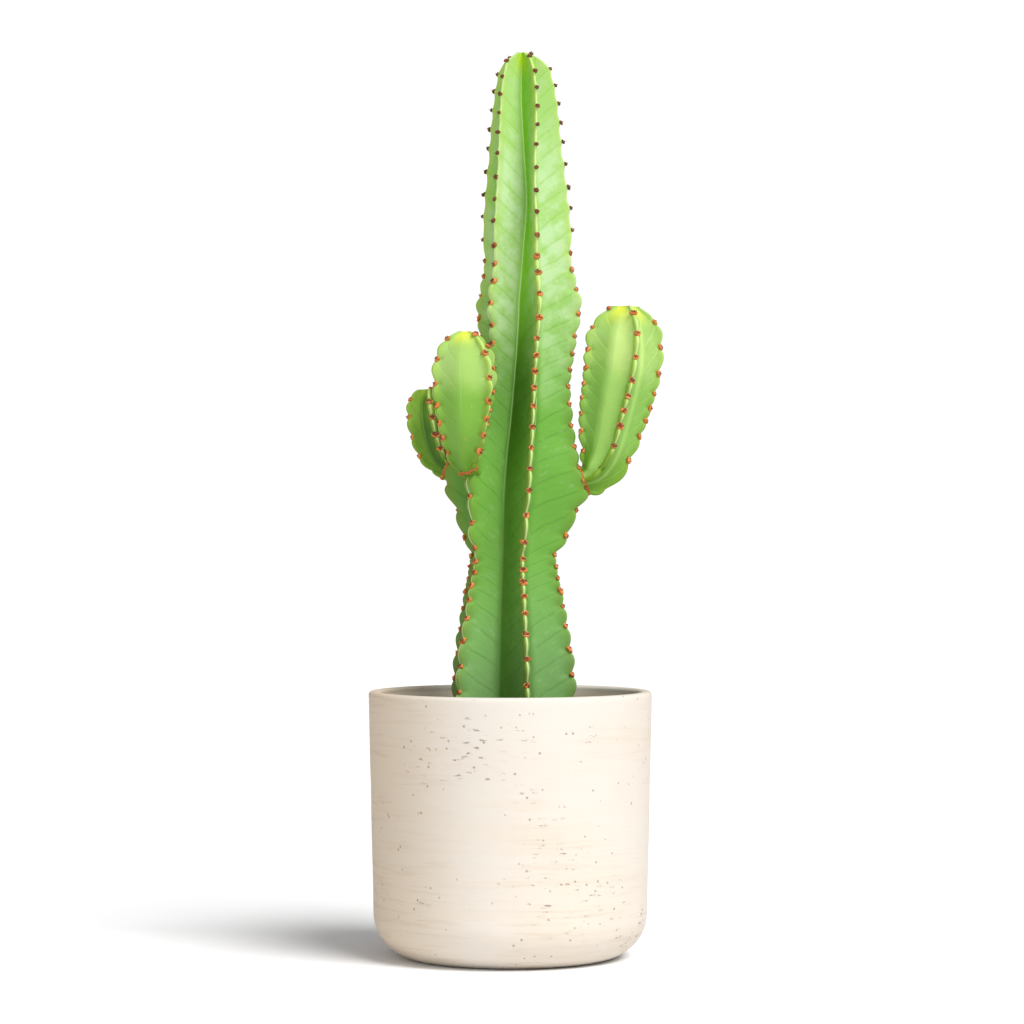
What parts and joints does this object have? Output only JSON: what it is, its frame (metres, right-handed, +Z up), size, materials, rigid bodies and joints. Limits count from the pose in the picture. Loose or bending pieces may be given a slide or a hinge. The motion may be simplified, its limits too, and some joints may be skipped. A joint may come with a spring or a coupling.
{
  "type": "potted candelabra tree",
  "caption": "Upright ribbed candelabra tree with short paddle-shaped arms, rooted in soil in a round fibre-concrete planter that stands on its flat base.",
  "frame": {"origin": "centre of the planter's flat underside", "axes": "+Z up along the planter's axis, +X to the right and -Y to the front, with the arm on one rib towards +X and the two others towards -X"},
  "size_m": [0.2083, 0.2, 0.6385],
  "materials": {
    "fibre_concrete": "matt cream washed fibre-concrete with fine streaks and pin holes",
    "clay_granules": "rough fired clay granules",
    "soil": "dry crumbly potting soil",
    "rooted_soil": "soil bound by fine roots",
    "stem_skin": "waxy green succulent skin with herringbone veins",
    "arm_skin": "waxy yellow-green succulent skin"
  },
  "bodies": {
    "root": {"planter": "fibre_concrete", "drainage_gravel": "clay_granules", "potting_soil": "soil", "root_ball": "rooted_soil", "main_stem": "stem_skin", "right_arm": "arm_skin", "front_left_arm": "arm_skin", "rear_left_arm": "arm_skin"}
  },
  "joints": []
}
